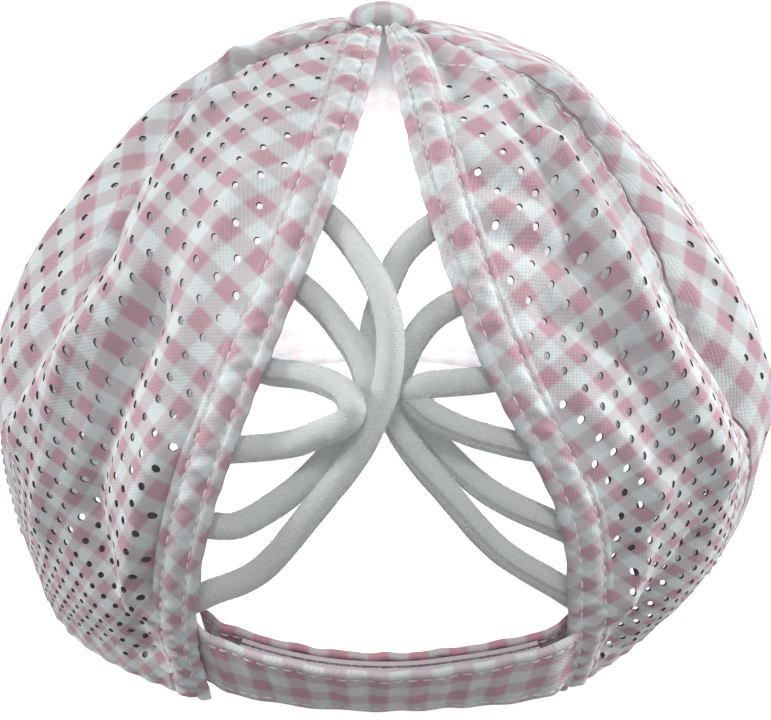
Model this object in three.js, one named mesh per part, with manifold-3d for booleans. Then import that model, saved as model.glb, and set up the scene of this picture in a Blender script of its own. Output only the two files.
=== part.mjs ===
// A soft ponytail cap: six perforated panels, a split back crossed by elastic cords, a strap and a peak
// Millimetres, +Z up, the peak towards +Y, resting on the ground by its back edge and its peak

import * as THREE from 'three';
import { mergeVertices } from 'three/addons/utils/BufferGeometryUtils.js';
import Module from 'manifold-3d';

const wasm = await Module();
wasm.setup();

// Crown sizes, with the depths measured from the axis of the button
const CROWN_HEIGHT = 127.5;
const CROWN_HALF_WIDTH = 90;
const CROWN_BACK_DEPTH = 98;
const CROWN_FRONT_DEPTH = 104;
const MERIDIAN_LENGTH = 186;
const FRONT_EDGE_LIFT = 12;
const SECTION_SQUARENESS = 2.2;
const SIDE_SEAM_ANGLE = 120;
const PANEL_THICKNESS = 1.2;
const CLOTH_GAP = 0.6;
const BAND_GAP = 1.3;
const PANEL_STEPS = 16;

// Sizes of the hems along the split, the band, the button and the perforation
const HEM_WIDTH = 9;
const HEM_THICKNESS = 3;
const HEM_UNDERSIDE = 0.7;
const BAND_HEIGHT = 10;
const BAND_THICKNESS = 2.2;
const BUTTON_DIAMETER = 15.5;
const BUTTON_HEIGHT = 4.8;
const BUTTON_GAP = 0.6;
const BUTTON_RIM = 1.4;
const HOLE_DIAMETER = 1.8;
const HOLE_PITCH = 13.2;
const HOLE_MARGIN = 4.5;
const HOLE_GRAIN_ANGLE = 45;
const HOLE_MIDDLE_ANGLE = 40;

// Sizes of the strap, its tape, the cords and the peak
const STRAP_WIDTH = 18.4;
const STRAP_THICKNESS = 1.6;
const STRAP_LEAN = 38;
const STRAP_END_LEAN = 22;
const STRAP_STEPS = 18;
const STRAP_STEP = 4.95;
const STRAP_CLEARANCE = 0.4;
const STRAP_END_RISE = 1.6;
const TAPE_WIDTH = 14;
const TAPE_THICKNESS = 0.9;
const TAPE_END_MARGIN = 9;
const CORD_DIAMETER = 5.4;
const CORD_TUCK = 5;
const PEAK_HALF_WIDTH = 86;
const PEAK_REACH = 68;
const PEAK_THICKNESS = 3;
const PEAK_ROOT_ANGLE = 68;
const PEAK_TIP_HEIGHT = 9;

// Level rows from the button down to the edge: shares of the height, half width and depths,
// and the angles in degrees from the back centre of the split's edges and of the back seams
const LEVELS = [
  { height: 0.985, left: 0, right: 0, back: 0, front: 0, splitL: 0, splitR: 1, seamL: 60, seamR: 58 },
  { height: 1, left: 0.12, right: 0.15, back: 0.127, front: 0.14, splitL: 1.5, splitR: 3.5, seamL: 62, seamR: 55 },
  { height: 0.93, left: 0.385, right: 0.446, back: 0.435, front: 0.44, splitL: 5, splitR: 5, seamL: 66, seamR: 55 },
  { height: 0.8, left: 0.636, right: 0.631, back: 0.722, front: 0.72, splitL: 8.7, splitR: 7.3, seamL: 57, seamR: 53 },
  { height: 0.6, left: 0.868, right: 0.869, back: 0.923, front: 0.9, splitL: 14.2, splitR: 12.3, seamL: 52, seamR: 50 },
  { height: 0.38, left: 0.999, right: 1.008, back: 1.01, front: 0.99, splitL: 19.2, splitR: 19.8, seamL: 60, seamR: 56 },
  { height: 0.16, left: 0.976, right: 0.958, back: 0.979, front: 1, splitL: 23, splitR: 23, seamL: 64, seamR: 60 },
  { height: 0, left: 0.925, right: 0.781, back: 0.896, front: 0.97, splitL: 24, splitR: 25.5, seamL: 63, seamR: 60 },
];

// Folds of the soft cloth, each a ridge or a valley through three points given by angle and level,
// with its lift and half width as shares of the crown's half width
const FOLDS = [
  { side: 'left', a0: 52, l0: 0.33, a1: 37, l1: 0.52, a2: 52, l2: 0.7, lift: 0.042, width: 0.075 },
  { side: 'left', a0: 66, l0: 0.33, a1: 52, l1: 0.52, a2: 61, l2: 0.69, lift: -0.045, width: 0.06 },
  { side: 'left', a0: 78, l0: 0.28, a1: 72, l1: 0.5, a2: 76, l2: 0.66, lift: 0.035, width: 0.09 },
  { side: 'left', a0: 33, l0: 0.54, a1: 34, l1: 0.63, a2: 38, l2: 0.76, lift: -0.032, width: 0.06 },
  { side: 'left', a0: 26, l0: 0.66, a1: 29, l1: 0.75, a2: 33, l2: 0.85, lift: 0.03, width: 0.05 },
  { side: 'left', a0: 37, l0: 0.8, a1: 34, l1: 0.87, a2: 32, l2: 0.93, lift: -0.035, width: 0.06 },
  { side: 'right', a0: 37, l0: 0.38, a1: 36, l1: 0.55, a2: 45, l2: 0.72, lift: 0.045, width: 0.07 },
  { side: 'right', a0: 47, l0: 0.3, a1: 45, l1: 0.5, a2: 54, l2: 0.68, lift: -0.034, width: 0.05 },
  { side: 'right', a0: 60, l0: 0.3, a1: 60, l1: 0.5, a2: 66, l2: 0.7, lift: 0.03, width: 0.07 },
  { side: 'right', a0: 30, l0: 0.2, a1: 27, l1: 0.24, a2: 22, l2: 0.28, lift: -0.03, width: 0.045 },
  { side: 'right', a0: 39, l0: 0.68, a1: 32, l1: 0.75, a2: 30, l2: 0.84, lift: 0.036, width: 0.045 },
  { side: 'right', a0: 42, l0: 0.8, a1: 37, l1: 0.86, a2: 33, l2: 0.92, lift: -0.036, width: 0.05 },
];

// Each cord's route over the split: across runs from -1 at the left hem to 1 at the right hem, level runs
// down the crown and out is the distance outwards in cord diameters
const CORD_ROUTES = {
  cord_left_outer: [
    { across: -1, level: 0.424, out: 0 }, { across: -0.44, level: 0.456, out: -0.44 },
    { across: -0.13, level: 0.483, out: -0.02 }, { across: 0.06, level: 0.508, out: 0.33 },
    { across: 0.15, level: 0.535, out: 0.57 }, { across: 0.15, level: 0.565, out: 0.72 },
    { across: 0.08, level: 0.597, out: 0.74 }, { across: -0.04, level: 0.627, out: 0.59 },
    { across: -0.18, level: 0.66, out: 0.35 }, { across: -0.41, level: 0.712, out: 0.02 },
    { across: -0.68, level: 0.79, out: -0.41 }, { across: -1, level: 0.83, out: 0 },
  ],
  cord_left_middle: [
    { across: -1, level: 0.497, out: 0 }, { across: -0.58, level: 0.519, out: -0.64 },
    { across: -0.33, level: 0.541, out: -0.42 }, { across: -0.16, level: 0.562, out: -0.25 },
    { across: -0.08, level: 0.582, out: -0.18 }, { across: -0.07, level: 0.6, out: -0.24 },
    { across: -0.15, level: 0.622, out: -0.44 }, { across: -0.31, level: 0.655, out: -0.63 },
    { across: -0.56, level: 0.702, out: -0.77 }, { across: -0.84, level: 0.741, out: -0.84 },
    { across: -1, level: 0.743, out: 0 },
  ],
  cord_left_inner: [
    { across: -1, level: 0.576, out: 0 }, { across: -0.62, level: 0.583, out: -0.13 },
    { across: -0.36, level: 0.593, out: 0.56 }, { across: -0.22, level: 0.604, out: 1.08 },
    { across: -0.19, level: 0.617, out: 1.32 }, { across: -0.27, level: 0.628, out: 1.08 },
    { across: -0.38, level: 0.634, out: 0.54 }, { across: -0.59, level: 0.647, out: -0.14 },
    { across: -1, level: 0.655, out: 0 },
  ],
  cord_right_outer: [
    { across: 1, level: 0.434, out: 0 }, { across: 0.46, level: 0.458, out: -0.93 },
    { across: 0.22, level: 0.481, out: -0.99 }, { across: 0.07, level: 0.507, out: -1.08 },
    { across: -0.02, level: 0.538, out: -1.17 }, { across: 0, level: 0.567, out: -1.23 },
    { across: 0.06, level: 0.595, out: -1.19 }, { across: 0.11, level: 0.62, out: -1.04 },
    { across: 0.2, level: 0.653, out: -0.88 }, { across: 0.37, level: 0.7, out: -0.79 },
    { across: 0.63, level: 0.77, out: -0.82 }, { across: 1, level: 0.82, out: 0 },
  ],
  cord_right_middle: [
    { across: 1, level: 0.51, out: 0 }, { across: 0.66, level: 0.522, out: -1.19 },
    { across: 0.42, level: 0.541, out: -1.51 }, { across: 0.28, level: 0.561, out: -1.85 },
    { across: 0.21, level: 0.58, out: -2.1 }, { across: 0.23, level: 0.605, out: -2.06 },
    { across: 0.36, level: 0.645, out: -1.76 }, { across: 0.62, level: 0.705, out: -1.35 },
    { across: 1, level: 0.74, out: 0 },
  ],
  cord_right_inner: [
    { across: 1, level: 0.583, out: 0 }, { across: 0.62, level: 0.588, out: -0.61 },
    { across: 0.4, level: 0.592, out: -0.4 }, { across: 0.31, level: 0.6, out: -0.32 },
    { across: 0.36, level: 0.614, out: -0.4 }, { across: 0.6, level: 0.634, out: -0.61 },
    { across: 1, level: 0.65, out: 0 },
  ],
};

const CHECK_PINK = '#d9a0a8';
const CHECK_WHITE = '#e3e6e8';
const CORD_WHITE = '#e6eaeb';
const TAPE_GREY = '#cfc6ca';

function clothMaterial(color) {
  return new THREE.MeshStandardMaterial({ color, roughness: 0.9, metalness: 0 });
}

function piece(name, geometry, material) {
  const mesh = new THREE.Mesh(geometry, material);
  mesh.name = name;
  return mesh;
}

function radians(degrees) {
  return THREE.MathUtils.degToRad(degrees);
}

// A smooth curve through evenly spaced values, with u from 0 at the first to 1 at the last
function smoothThrough(values, u, first) {
  const last = values.length - 1;
  const place = THREE.MathUtils.clamp(u, 0, 1) * last;
  const i = Math.min(Math.floor(place), last - 1);
  const before = i > 0 ? values[i - 1] : first;
  const after = i + 2 <= last ? values[i + 2] : 2 * values[last] - values[last - 1];
  const f = place - i;
  const a = 2 * values[i];
  const b = values[i + 1] - before;
  const c = 2 * before - 5 * values[i] + 4 * values[i + 1] - after;
  const d = 3 * values[i] - before - 3 * values[i + 1] + after;
  return (a + b * f + c * f * f + d * f * f * f) / 2;
}

function levelValue(column, level) {
  const values = LEVELS.map((row) => row[column]);
  const throughPole = ['left', 'right', 'back', 'front'].includes(column);
  return smoothThrough(values, level, throughPole ? -values[1] : values[1]);
}

// The plain crown before its folds: angle in degrees from the back centre, towards the right when positive
function plainPoint(angle, level) {
  const sine = Math.sin(radians(angle));
  const cosine = Math.cos(radians(angle));
  const own = levelValue(sine < 0 ? 'left' : 'right', level);
  const other = levelValue(sine < 0 ? 'right' : 'left', level);
  const evenness = Math.min(1, 1.5 * Math.max(0, -cosine)) / 2;
  const halfWidth = CROWN_HALF_WIDTH * (own + (other - own) * evenness);
  const back = CROWN_BACK_DEPTH * levelValue('back', level);
  const front = CROWN_FRONT_DEPTH * levelValue('front', level);
  const depth = cosine > 0 ? back : front;
  const across = (Math.abs(sine) / halfWidth) ** SECTION_SQUARENESS;
  const along = (Math.abs(cosine) / depth) ** SECTION_SQUARENESS;
  const radius = (across + along) ** (-1 / SECTION_SQUARENESS);
  const frontness = Math.max(0, -cosine) ** 2;
  const height = CROWN_HEIGHT * levelValue('height', level) + FRONT_EDGE_LIFT * frontness * level ** 2;
  return new THREE.Vector3(radius * sine, -radius * cosine, height);
}

function plainNormal(angle, level) {
  const step = 0.004;
  const up = plainPoint(angle, Math.max(0.02, level - step));
  const down = plainPoint(angle, Math.min(1, level + step));
  const one = plainPoint(angle + 1, level);
  const other = plainPoint(angle - 1, level);
  return one.sub(other).cross(up.sub(down)).normalize();
}

function plainRadius(angle, level) {
  const point = plainPoint(angle, level);
  return Math.hypot(point.x, point.y);
}

function degreesFor(length, angle, level) {
  return THREE.MathUtils.radToDeg(length / plainRadius(angle, level));
}

// How far a fold lifts the cloth at a place, from its distance to the fold's two straight stretches
function foldLift(fold, angle, level) {
  const scale = radians(plainRadius(angle, level));
  const place = new THREE.Vector2(Math.abs(angle) * scale, level * MERIDIAN_LENGTH);
  const points = [0, 1, 2].map((k) => {
    return new THREE.Vector2(fold[`a${k}`] * scale, fold[`l${k}`] * MERIDIAN_LENGTH);
  });
  const [one, other] = [distanceTo(place, points[0], points[1]), distanceTo(place, points[1], points[2])];
  const share = Math.min(one, other) / (fold.width * CROWN_HALF_WIDTH);
  return fold.lift * CROWN_HALF_WIDTH * Math.exp(-share * share);
}

function distanceTo(place, start, end) {
  const run = end.clone().sub(start);
  const share = THREE.MathUtils.clamp(place.clone().sub(start).dot(run) / run.lengthSq(), 0, 1);
  return place.distanceTo(start.clone().addScaledVector(run, share));
}

function relief(angle, level) {
  const wrapped = THREE.MathUtils.euclideanModulo(angle + 180, 360) - 180;
  const side = wrapped < 0 ? 'left' : 'right';
  const folds = FOLDS.filter((fold) => fold.side === side);
  return folds.reduce((sum, fold) => sum + foldLift(fold, wrapped, level), 0);
}

function crownPoint(angle, level, lift) {
  const point = plainPoint(angle, level);
  return point.addScaledVector(plainNormal(angle, level), relief(angle, level) + lift);
}

// A closed solid from any rings of points, each ring closed on itself, with a cap on both ends
function loft(rings) {
  const size = rings[0].length;
  const vertices = rings.flat();
  const indices = [];
  for (let r = 0; r + 1 < rings.length; r += 1) {
    for (let k = 0; k < size; k += 1) {
      const a = r * size + k;
      const b = r * size + ((k + 1) % size);
      indices.push(a, b, b + size, a, b + size, a + size);
    }
  }
  for (const start of [0, (rings.length - 1) * size]) {
    for (let k = 0; 2 * (k + 1) < size; k += 1) {
      const quad = [start + k, start + k + 1, start + size - 2 - k, start + size - 1 - k];
      const triangles = [[quad[0], quad[1], quad[2]], [quad[0], quad[2], quad[3]]];
      for (const t of triangles.filter((corners) => new Set(corners).size === 3)) {
        indices.push(...(start === 0 ? [t[0], t[2], t[1]] : t));
      }
    }
  }
  return outward(vertices, indices);
}

// The geometry of a closed skin, turned so that its faces point outwards
function outward(vertices, indices) {
  let volume = 0;
  for (let i = 0; i < indices.length; i += 3) {
    const [a, b, c] = [vertices[indices[i]], vertices[indices[i + 1]], vertices[indices[i + 2]]];
    volume += a.dot(b.clone().cross(c));
  }
  if (volume < 0) {
    indices.reverse();
  }
  const geometry = new THREE.BufferGeometry();
  const numbers = vertices.flatMap((v) => v.toArray());
  geometry.setAttribute('position', new THREE.Float32BufferAttribute(numbers, 3));
  geometry.setIndex(indices);
  return geometry;
}

// A sheet with an outer and an inner face: one ring for each step along, running out and back across it
function sheet(along, across, outer, inner) {
  const rings = [];
  for (let i = 0; i <= along; i += 1) {
    const row = Array.from({ length: across + 1 }, (_, j) => outer(i / along, j / across));
    const under = Array.from({ length: across + 1 }, (_, j) => inner(i / along, 1 - j / across));
    rings.push([...row, ...under]);
  }
  return loft(rings);
}

function toManifold(geometry) {
  const plain = geometry.clone();
  plain.deleteAttribute('normal');
  plain.deleteAttribute('uv');
  const merged = mergeVertices(plain, 1e-4);
  const vertProperties = new Float32Array(merged.attributes.position.array);
  const triVerts = new Uint32Array(merged.index.array);
  return new wasm.Manifold(new wasm.Mesh({ numProp: 3, vertProperties, triVerts }));
}

function fromManifold(solid) {
  const mesh = solid.getMesh();
  const geometry = new THREE.BufferGeometry();
  geometry.setAttribute('position', new THREE.BufferAttribute(new Float32Array(mesh.vertProperties), 3));
  geometry.setIndex(Array.from(mesh.triVerts));
  return geometry;
}

const SIDES = {
  left: { sign: -1, split: 'splitL', seam: 'seamL' },
  right: { sign: 1, split: 'splitR', seam: 'seamR' },
};
const TOP_LEVEL = 0.075;
const HEM_TOP_LEVEL = 0.107;
const BAND_TOP_LEVEL = 1 - BAND_HEIGHT / MERIDIAN_LENGTH;

function splitAngle(side, level) {
  return levelValue(SIDES[side].split, level);
}

function seamAngle(side, level) {
  return levelValue(SIDES[side].seam, level);
}

// The hem takes its full width where the crown is wide enough, and half of the back panel near the button
function hemOuterAngle(side, level) {
  const inner = splitAngle(side, level);
  const full = degreesFor(HEM_WIDTH, SIDES[side].sign * inner, level);
  return inner + Math.min(full, (seamAngle(side, level) - inner) / 2);
}

// A panel between two edges, each a function from the level to an angle in degrees
function panelGeometry(innerEdge, outerEdge, across) {
  const place = (u, v, lift) => {
    const bottom = BAND_TOP_LEVEL - BAND_GAP / MERIDIAN_LENGTH;
    const level = TOP_LEVEL + (bottom - TOP_LEVEL) * u;
    const margin = degreesFor(CLOTH_GAP / 2, innerEdge(level), level);
    const turn = Math.sign(outerEdge(level) - innerEdge(level)) * margin;
    const start = innerEdge(level) + turn;
    const end = outerEdge(level) - turn;
    return crownPoint(start + (end - start) * v, level, lift);
  };
  return sheet(PANEL_STEPS, across, (u, v) => place(u, v, 0), (u, v) => place(u, v, -PANEL_THICKNESS));
}

// Round holes on a square grid that lies on the bias, cut where the margin to every edge allows
function perforate(geometry, side) {
  const { sign } = SIDES[side];
  const drills = [];
  const reach = Math.ceil(MERIDIAN_LENGTH / HOLE_PITCH);
  const grain = radians(HOLE_GRAIN_ANGLE);
  for (let i = -reach; i <= reach; i += 1) {
    for (let j = -reach; j <= reach; j += 1) {
      const arc = HOLE_PITCH * (i * Math.cos(grain) - j * Math.sin(grain));
      const level = (HOLE_PITCH * (i * Math.sin(grain) + j * Math.cos(grain))) / MERIDIAN_LENGTH;
      if (arc > 0 && level > 2 * TOP_LEVEL && level < 1) {
        const angle = degreesFor(arc, sign * HOLE_MIDDLE_ANGLE, level);
        const margin = degreesFor(HOLE_MARGIN, sign * angle, level);
        const inside = angle > hemOuterAngle(side, level) + margin && angle < seamAngle(side, level) - margin;
        const above = level < BAND_TOP_LEVEL - HOLE_MARGIN / MERIDIAN_LENGTH;
        if (inside && above) {
          drills.push(drill(sign * angle, level));
        }
      }
    }
  }
  return fromManifold(toManifold(geometry).subtract(wasm.Manifold.union(drills)));
}

function drill(angle, level) {
  const geometry = new THREE.CylinderGeometry(HOLE_DIAMETER / 2, HOLE_DIAMETER / 2, 6 * PANEL_THICKNESS, 6);
  const up = new THREE.Vector3(0, 1, 0);
  const turn = new THREE.Quaternion().setFromUnitVectors(up, plainNormal(angle, level));
  const centre = crownPoint(angle, level, -PANEL_THICKNESS / 2);
  geometry.applyMatrix4(new THREE.Matrix4().compose(centre, turn, new THREE.Vector3(1, 1, 1)));
  return toManifold(geometry);
}

function backPanel(side) {
  const { sign } = SIDES[side];
  const inner = (level) => sign * hemOuterAngle(side, level);
  const outer = (level) => sign * seamAngle(side, level);
  const geometry = perforate(panelGeometry(inner, outer, 8), side);
  return piece(`back_${side}_panel`, geometry, clothMaterial(CHECK_PINK));
}

function sidePanel(side) {
  const { sign } = SIDES[side];
  const inner = (level) => sign * seamAngle(side, level);
  const outer = () => sign * SIDE_SEAM_ANGLE;
  return piece(`side_${side}_panel`, panelGeometry(inner, outer, 8), clothMaterial(CHECK_WHITE));
}

function frontPanel(side) {
  const { sign } = SIDES[side];
  const inner = () => sign * SIDE_SEAM_ANGLE;
  const outer = () => sign * 180;
  return piece(`front_${side}_panel`, panelGeometry(inner, outer, 8), clothMaterial(CHECK_PINK));
}

// The folded hem along one edge of the split, puffed up between its stitch rows, down to the bottom edge
function splitHem(side) {
  const { sign } = SIDES[side];
  const profile = [
    { share: 0, lift: -0.35 }, { share: 0.06, lift: 0.02 }, { share: 0.3, lift: 0.3 },
    { share: 0.7, lift: 0.3 }, { share: 1, lift: 0.05 }, { share: 1, lift: -0.45 },
    { share: 0.55, lift: -HEM_UNDERSIDE }, { share: 0.1, lift: -0.6 },
  ];
  const rings = Array.from({ length: PANEL_STEPS + 1 }, (_, i) => {
    const level = Math.max(HEM_TOP_LEVEL, TOP_LEVEL + (1 - TOP_LEVEL) * (i / PANEL_STEPS));
    const inner = splitAngle(side, level);
    const margin = degreesFor(CLOTH_GAP / 2, sign * inner, level);
    const width = hemOuterAngle(side, level) - margin - inner;
    const place = (share) => sign * (inner + width * share);
    return profile.map((row) => {
      const point = crownPoint(place(row.share), level, row.lift * HEM_THICKNESS);
      return level === 1 ? point.setZ(0) : point;
    });
  });
  return piece(`${side}_split_hem`, loft(rings), clothMaterial(CHECK_WHITE));
}

// The straight-cut band around the head opening, from one hem of the split to the other
function bottomBand() {
  const place = (u, v, lift) => {
    const level = BAND_TOP_LEVEL + (1 - BAND_TOP_LEVEL) * v;
    const gap = degreesFor(CLOTH_GAP, hemOuterAngle('left', 1), level);
    const start = -hemOuterAngle('left', level) - gap;
    const end = hemOuterAngle('right', level) + gap - 360;
    return crownPoint(start + (end - start) * u, level, lift);
  };
  const face = (lift) => (u, v) => flattened(place(u, v, lift), place(u, v, 0), v);
  const geometry = sheet(48, 2, face(BAND_THICKNESS / 4), face((-3 * BAND_THICKNESS) / 4));
  return piece('bottom_band', geometry, clothMaterial(CHECK_PINK));
}

// On the bottom edge, both faces of the band end at the height of the edge itself
function flattened(point, edge, v) {
  return v === 1 ? point.setZ(edge.z) : point;
}

// Places on the strap: u runs from the left corner to the right one, v from the bottom edge to the top edge
function strapPoint(u, v, lift) {
  const left = -splitAngle('left', 1);
  const right = splitAngle('right', 1);
  const angle = left + (right - left) * u;
  const foot = plainPoint(angle, 1);
  const out = new THREE.Vector3(foot.x, foot.y, 0).normalize();
  const sag = Math.sin(Math.PI * u);
  const lean = radians(STRAP_END_LEAN + (STRAP_LEAN - STRAP_END_LEAN) * sag);
  const rise = new THREE.Vector3(0, 0, Math.cos(lean)).addScaledVector(out, Math.sin(lean));
  const normal = out.clone().multiplyScalar(Math.cos(lean)).add(new THREE.Vector3(0, 0, -Math.sin(lean)));
  const height = STRAP_CLEARANCE + STRAP_END_RISE * (1 - sag) + Math.sin(lean) * stackShift(u);
  const base = new THREE.Vector3(0, 0, height);
  return foot.add(base).addScaledVector(rise, v * STRAP_WIDTH).addScaledVector(normal, lift + stackShift(u));
}

// Towards the right corner the whole stack steps outwards, so that the rear tab meets the corner there
function stackShift(u) {
  return STRAP_STEP * THREE.MathUtils.smoothstep(u, 0.62, 0.97);
}

function strapTab(name, startU, endU, depth) {
  const across = (u, v, lift) => strapPoint(startU + (endU - startU) * u, v, depth + lift);
  const geometry = sheet(STRAP_STEPS, 3, (u, v) => across(u, v, 0), (u, v) => across(u, v, -STRAP_THICKNESS));
  return piece(name, geometry, clothMaterial(CHECK_PINK));
}

function strapTape(name, depth) {
  const opening = 2 * plainRadius(0, 1) * Math.sin(radians(splitAngle('left', 1)));
  const marginU = TAPE_END_MARGIN / opening;
  const marginV = (1 - TAPE_WIDTH / STRAP_WIDTH) / 2;
  const place = (u, v, lift) => {
    return strapPoint(marginU + (1 - 2 * marginU) * u, marginV + (1 - 2 * marginV) * v, depth + lift);
  };
  const geometry = sheet(STRAP_STEPS, 1, (u, v) => place(u, v, 0), (u, v) => place(u, v, -TAPE_THICKNESS));
  return piece(name, geometry, clothMaterial(TAPE_GREY));
}

// The two tabs with the hook tape and the loop tape between them, fastened
function strap() {
  const gap = (STRAP_STEP - STRAP_THICKNESS - 2 * TAPE_THICKNESS) / 3;
  const hookDepth = -STRAP_THICKNESS - gap;
  const loopDepth = hookDepth - TAPE_THICKNESS - gap;
  const group = new THREE.Group();
  group.add(strapTab('strap_outer_tab', 0.035, 0.955, 0));
  group.add(strapTape('strap_hook_tape', hookDepth));
  group.add(strapTape('strap_loop_tape', loopDepth));
  group.add(strapTab('strap_inner_tab', 0.03, 0.988, -STRAP_STEP));
  return group;
}

// A place over the split, between the inner edges of the two hems
function splitPoint(across, level, out) {
  const left = crownPoint(-splitAngle('left', level), level, 0);
  const right = crownPoint(splitAngle('right', level), level, 0);
  const point = left.lerp(right, (across + 1) / 2);
  return point.addScaledVector(plainNormal(0, level), out * CORD_DIAMETER);
}

// A cord's end lies under the hem, sewn to its inner face, in line with the stretch that leaves the hem
function tuckedEnd(side, level, nextLevel, distance) {
  const { sign } = SIDES[side];
  const depth = HEM_UNDERSIDE * HEM_THICKNESS + CLOTH_GAP + CORD_DIAMETER / 2;
  const along = level + (level - nextLevel) * distance / CORD_TUCK;
  const angle = splitAngle(side, along) + degreesFor(distance, sign * splitAngle(side, along), along);
  return crownPoint(sign * angle, along, -depth);
}

function cord(name) {
  const rows = CORD_ROUTES[name];
  const side = name.includes('left') ? 'left' : 'right';
  const middle = rows.slice(1, -1).map((row) => splitPoint(row.across, row.level, row.out));
  const [first, second] = rows;
  const [last, beforeLast] = [rows.at(-1), rows.at(-2)];
  const firstLean = first.level + (second.level - first.level) / 2;
  const lastLean = last.level + (beforeLast.level - last.level) / 2;
  const start = [CORD_TUCK, 0].map((distance) => tuckedEnd(side, first.level, firstLean, distance));
  const end = [0, CORD_TUCK].map((distance) => tuckedEnd(side, last.level, lastLean, distance));
  const curve = new THREE.CatmullRomCurve3([...start, ...middle, ...end], false, 'centripetal');
  const corners = Array.from({ length: 8 }, (_, k) => {
    const turn = (k * Math.PI) / 4;
    return new THREE.Vector2(Math.cos(turn), Math.sin(turn)).multiplyScalar(CORD_DIAMETER / 2);
  });
  const steps = 2 * (rows.length + 1);
  const geometry = new THREE.ExtrudeGeometry(new THREE.Shape(corners), { steps, extrudePath: curve });
  return piece(name, geometry, clothMaterial(CORD_WHITE));
}

// The covered button: a low dome with a short straight rim
function crownButton() {
  const radius = BUTTON_DIAMETER / 2;
  const dome = Array.from({ length: 5 }, (_, k) => {
    const turn = (k * Math.PI) / 8;
    const height = BUTTON_RIM + (BUTTON_HEIGHT - BUTTON_RIM) * Math.sin(turn);
    return new THREE.Vector2(k === 4 ? 0 : radius * Math.cos(turn), height);
  });
  const profile = [new THREE.Vector2(0, 0), new THREE.Vector2(radius * 0.93, 0), ...dome];
  const geometry = new THREE.LatheGeometry(profile, 16);
  geometry.rotateX(Math.PI / 2);
  const mesh = piece('crown_button', geometry, clothMaterial(CHECK_PINK));
  mesh.position.z = CROWN_HEIGHT + BUTTON_GAP;
  return mesh;
}

// The peak starts just outside the band at the front and reaches forwards, arched from side to side
function peak() {
  const rootLift = BAND_THICKNESS / 4 + 1.4 * BAND_GAP;
  const corner = crownPoint(180 - PEAK_ROOT_ANGLE, 1, rootLift);
  const tip = plainPoint(180, 1).y + PEAK_REACH;
  const place = (u, v, lift) => {
    const share = 2 * u - 1;
    const root = crownPoint(180 - PEAK_ROOT_ANGLE * share, 1, rootLift);
    const sweep = (share * Math.PI) / 2;
    const wide = PEAK_HALF_WIDTH * Math.sign(share) * Math.abs(Math.sin(sweep)) ** 0.9;
    const ending = THREE.MathUtils.smoothstep(Math.abs(share), 0.86, 1);
    const rimX = wide + (1.03 * root.x - wide) * ending;
    const rimY = corner.y + 3 + (tip - corner.y) * Math.cos(sweep) ** 0.8;
    const rim = new THREE.Vector3(rimX, rimY, PEAK_TIP_HEIGHT * Math.cos(sweep) ** 1.5);
    const bulge = 0.06 * PEAK_REACH * Math.sin(Math.PI * v) * Math.cos(sweep);
    const point = root.setZ(Math.max(0, root.z - PEAK_THICKNESS * 0.3)).lerp(rim, v);
    return point.setZ(point.z + bulge + lift);
  };
  const geometry = sheet(24, 5, (u, v) => place(u, v, PEAK_THICKNESS), (u, v) => place(u, v, 0));
  return piece('peak', geometry, clothMaterial(CHECK_PINK));
}

// The whole cap, moved so that the middle of its outer box stands on the origin
function cap() {
  const group = new THREE.Group();
  for (const side of ['left', 'right']) {
    group.add(backPanel(side), sidePanel(side), frontPanel(side), splitHem(side));
  }
  group.add(bottomBand(), crownButton(), strap(), peak());
  group.add(...Object.keys(CORD_ROUTES).map(cord));
  const box = new THREE.Box3().setFromObject(group, true);
  const middle = box.getCenter(new THREE.Vector3());
  group.position.set(-middle.x, -middle.y, -box.min.z);
  return group;
}

export default cap();
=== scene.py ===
import math

import bpy
import numpy as np
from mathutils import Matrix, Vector
from mathutils.geometry import delaunay_2d_cdt


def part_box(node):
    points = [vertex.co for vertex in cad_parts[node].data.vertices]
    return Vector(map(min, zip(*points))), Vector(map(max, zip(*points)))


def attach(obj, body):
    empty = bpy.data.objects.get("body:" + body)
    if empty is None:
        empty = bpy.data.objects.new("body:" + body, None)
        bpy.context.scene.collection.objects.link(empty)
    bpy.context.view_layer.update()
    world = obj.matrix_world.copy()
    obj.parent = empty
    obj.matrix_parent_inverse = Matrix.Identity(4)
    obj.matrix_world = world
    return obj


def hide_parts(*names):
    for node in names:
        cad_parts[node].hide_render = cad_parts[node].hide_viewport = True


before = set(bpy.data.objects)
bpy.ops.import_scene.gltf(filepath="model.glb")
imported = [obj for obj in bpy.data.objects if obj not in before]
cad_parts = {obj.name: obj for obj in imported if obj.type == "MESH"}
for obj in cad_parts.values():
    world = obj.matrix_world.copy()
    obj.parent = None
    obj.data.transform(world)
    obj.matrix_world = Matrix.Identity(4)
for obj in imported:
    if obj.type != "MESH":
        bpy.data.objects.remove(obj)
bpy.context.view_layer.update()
rng = np.random.default_rng(7)

# Crown sizes in millimetres, as in the CAD part, measured from the button's axis
CROWN_HEIGHT = 127.5
CROWN_HALF_WIDTH = 90
CROWN_BACK_DEPTH = 98
CROWN_FRONT_DEPTH = 104
MERIDIAN_LENGTH = 186
FRONT_EDGE_LIFT = 12
SECTION_SQUARENESS = 2.2
SIDE_SEAM_ANGLE = 120
TOP_LEVEL = 0.075
HEM_WIDTH = 9
HEM_THICKNESS = 3
BAND_HEIGHT = 10
CORD_DIAMETER = 5.4
CORD_TUCK = 5

# Cloth sizes in millimetres
CHECK = 8
CLOTH = 0.5
HOLE_RADIUS = 0.72
HOLE_CORNERS = 12
STITCH_PITCH = 2.8
STITCH_LENGTH = 2.3
STITCH_RADIUS = 0.25
STITCH_SINK = 0.02
WELT = {"left": 1.9, "right": 0.6}
WELT_PLACE = 3
WELT_HALF_WIDTH = 2.4

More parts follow.
